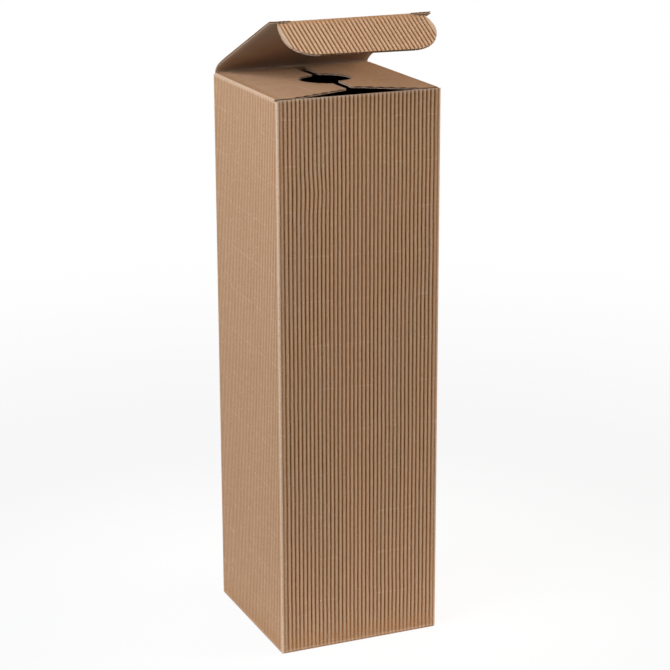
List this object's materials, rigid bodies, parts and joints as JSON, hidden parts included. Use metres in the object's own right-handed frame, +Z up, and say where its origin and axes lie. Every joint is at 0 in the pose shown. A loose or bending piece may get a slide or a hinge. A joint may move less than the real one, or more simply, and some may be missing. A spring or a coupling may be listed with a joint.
{
  "type": "bottle box",
  "caption": "Tall square gift box for one bottle in bare fluted kraft board, with dust flaps that hold the neck and a hinged tuck lid.",
  "frame": {"origin": "centre of the base, on the surface that the box stands on", "axes": "+Z up, the front panel faces -Y and the lid is hinged along the back at +Y, +X to the right seen from the front"},
  "size_m": [0.097, 0.1169, 0.3592],
  "materials": {
    "kraft_board": "bare fluted kraft"
  },
  "bodies": {
    "carton": {"carton": "kraft_board"},
    "lid": {"lid": "kraft_board"},
    "tuck_flap": {"tuck_flap": "kraft_board"}
  },
  "joints": [
    {"name": "lid_hinge", "type": "hinge", "parent": "carton", "child": "lid", "pos_m": [0, 0.0478, 0.3198], "axis": [-1, 0, 0], "range_deg": [-22.5, 156]},
    {"name": "tuck_fold", "type": "hinge", "parent": "lid", "child": "tuck_flap", "pos_m": [0, -0.03816, 0.35807], "axis": [1, 0, 0], "range_deg": [-49, 49]}
  ]
}
